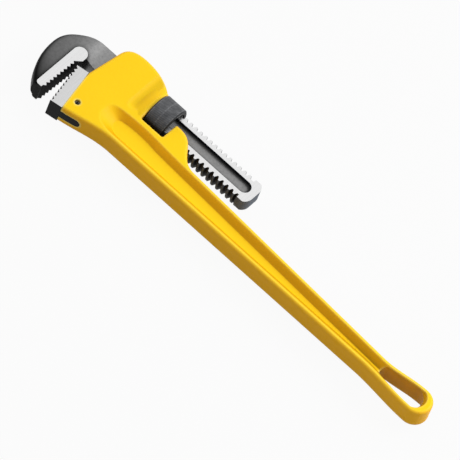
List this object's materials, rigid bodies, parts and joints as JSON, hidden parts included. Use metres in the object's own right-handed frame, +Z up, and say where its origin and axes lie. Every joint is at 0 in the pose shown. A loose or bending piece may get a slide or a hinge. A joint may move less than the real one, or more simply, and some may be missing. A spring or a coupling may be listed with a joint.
{
  "type": "pipe wrench",
  "caption": "Straight cast pipe wrench: a toothed hook jaw with a threaded stem slides through the head by a knurled nut, rocks on springs and closes on a pinned heel jaw.",
  "frame": {"origin": "bottom centre of the box around the wrench, lying flat with its jaws nearly closed", "axes": "+X along the stem from the hook jaw to the handle's end, -Y to the side the mouth opens on, +Z up out of one flat side"},
  "size_m": [0.429, 0.0888, 0.0348],
  "materials": {
    "enamel": "glossy yellow enamel on a smooth casting",
    "forged_steel": "dark forged skin, ground bright on the pad and on the stem's edges",
    "ground_steel": "ground sides, dark hardened teeth",
    "nut_steel": "dark oxide, finely knurled",
    "spring_steel": "plain spring steel"
  },
  "bodies": {
    "handle": {"handle": "enamel", "heel_jaw": "ground_steel", "heel_jaw_pin": "spring_steel", "coil_spring": "spring_steel"},
    "flat_spring": {"flat_spring": "spring_steel"},
    "hook_jaw": {"hook_jaw": "forged_steel"},
    "adjusting_nut": {"adjusting_nut": "nut_steel"}
  },
  "joints": [
    {"name": "hook_jaw_rock", "type": "hinge", "parent": "handle", "child": "flat_spring", "pos_m": [-0.1179, 0.0356, 0.01739], "axis": [0, 0, 1], "range_deg": [0, 2.5], "stiffness_Nm_per_rad": 6, "springref_deg": -2.86, "deforming": ["coil_spring"]},
    {"name": "hook_jaw_slide", "type": "slide", "parent": "flat_spring", "child": "hook_jaw", "axis": [-1, 0, 0], "range_m": [-0.0004, 0.063]},
    {"name": "nut_spin", "type": "hinge", "parent": "flat_spring", "child": "adjusting_nut", "pos_m": [-0.1077, 0.0182, 0.01739], "axis": [1, 0, 0], "range_deg": [-28, 4280]}
  ],
  "couplings": [
    {"joint": "nut_spin", "follows": "hook_jaw_slide", "rad_per_m": 1185.5}
  ]
}
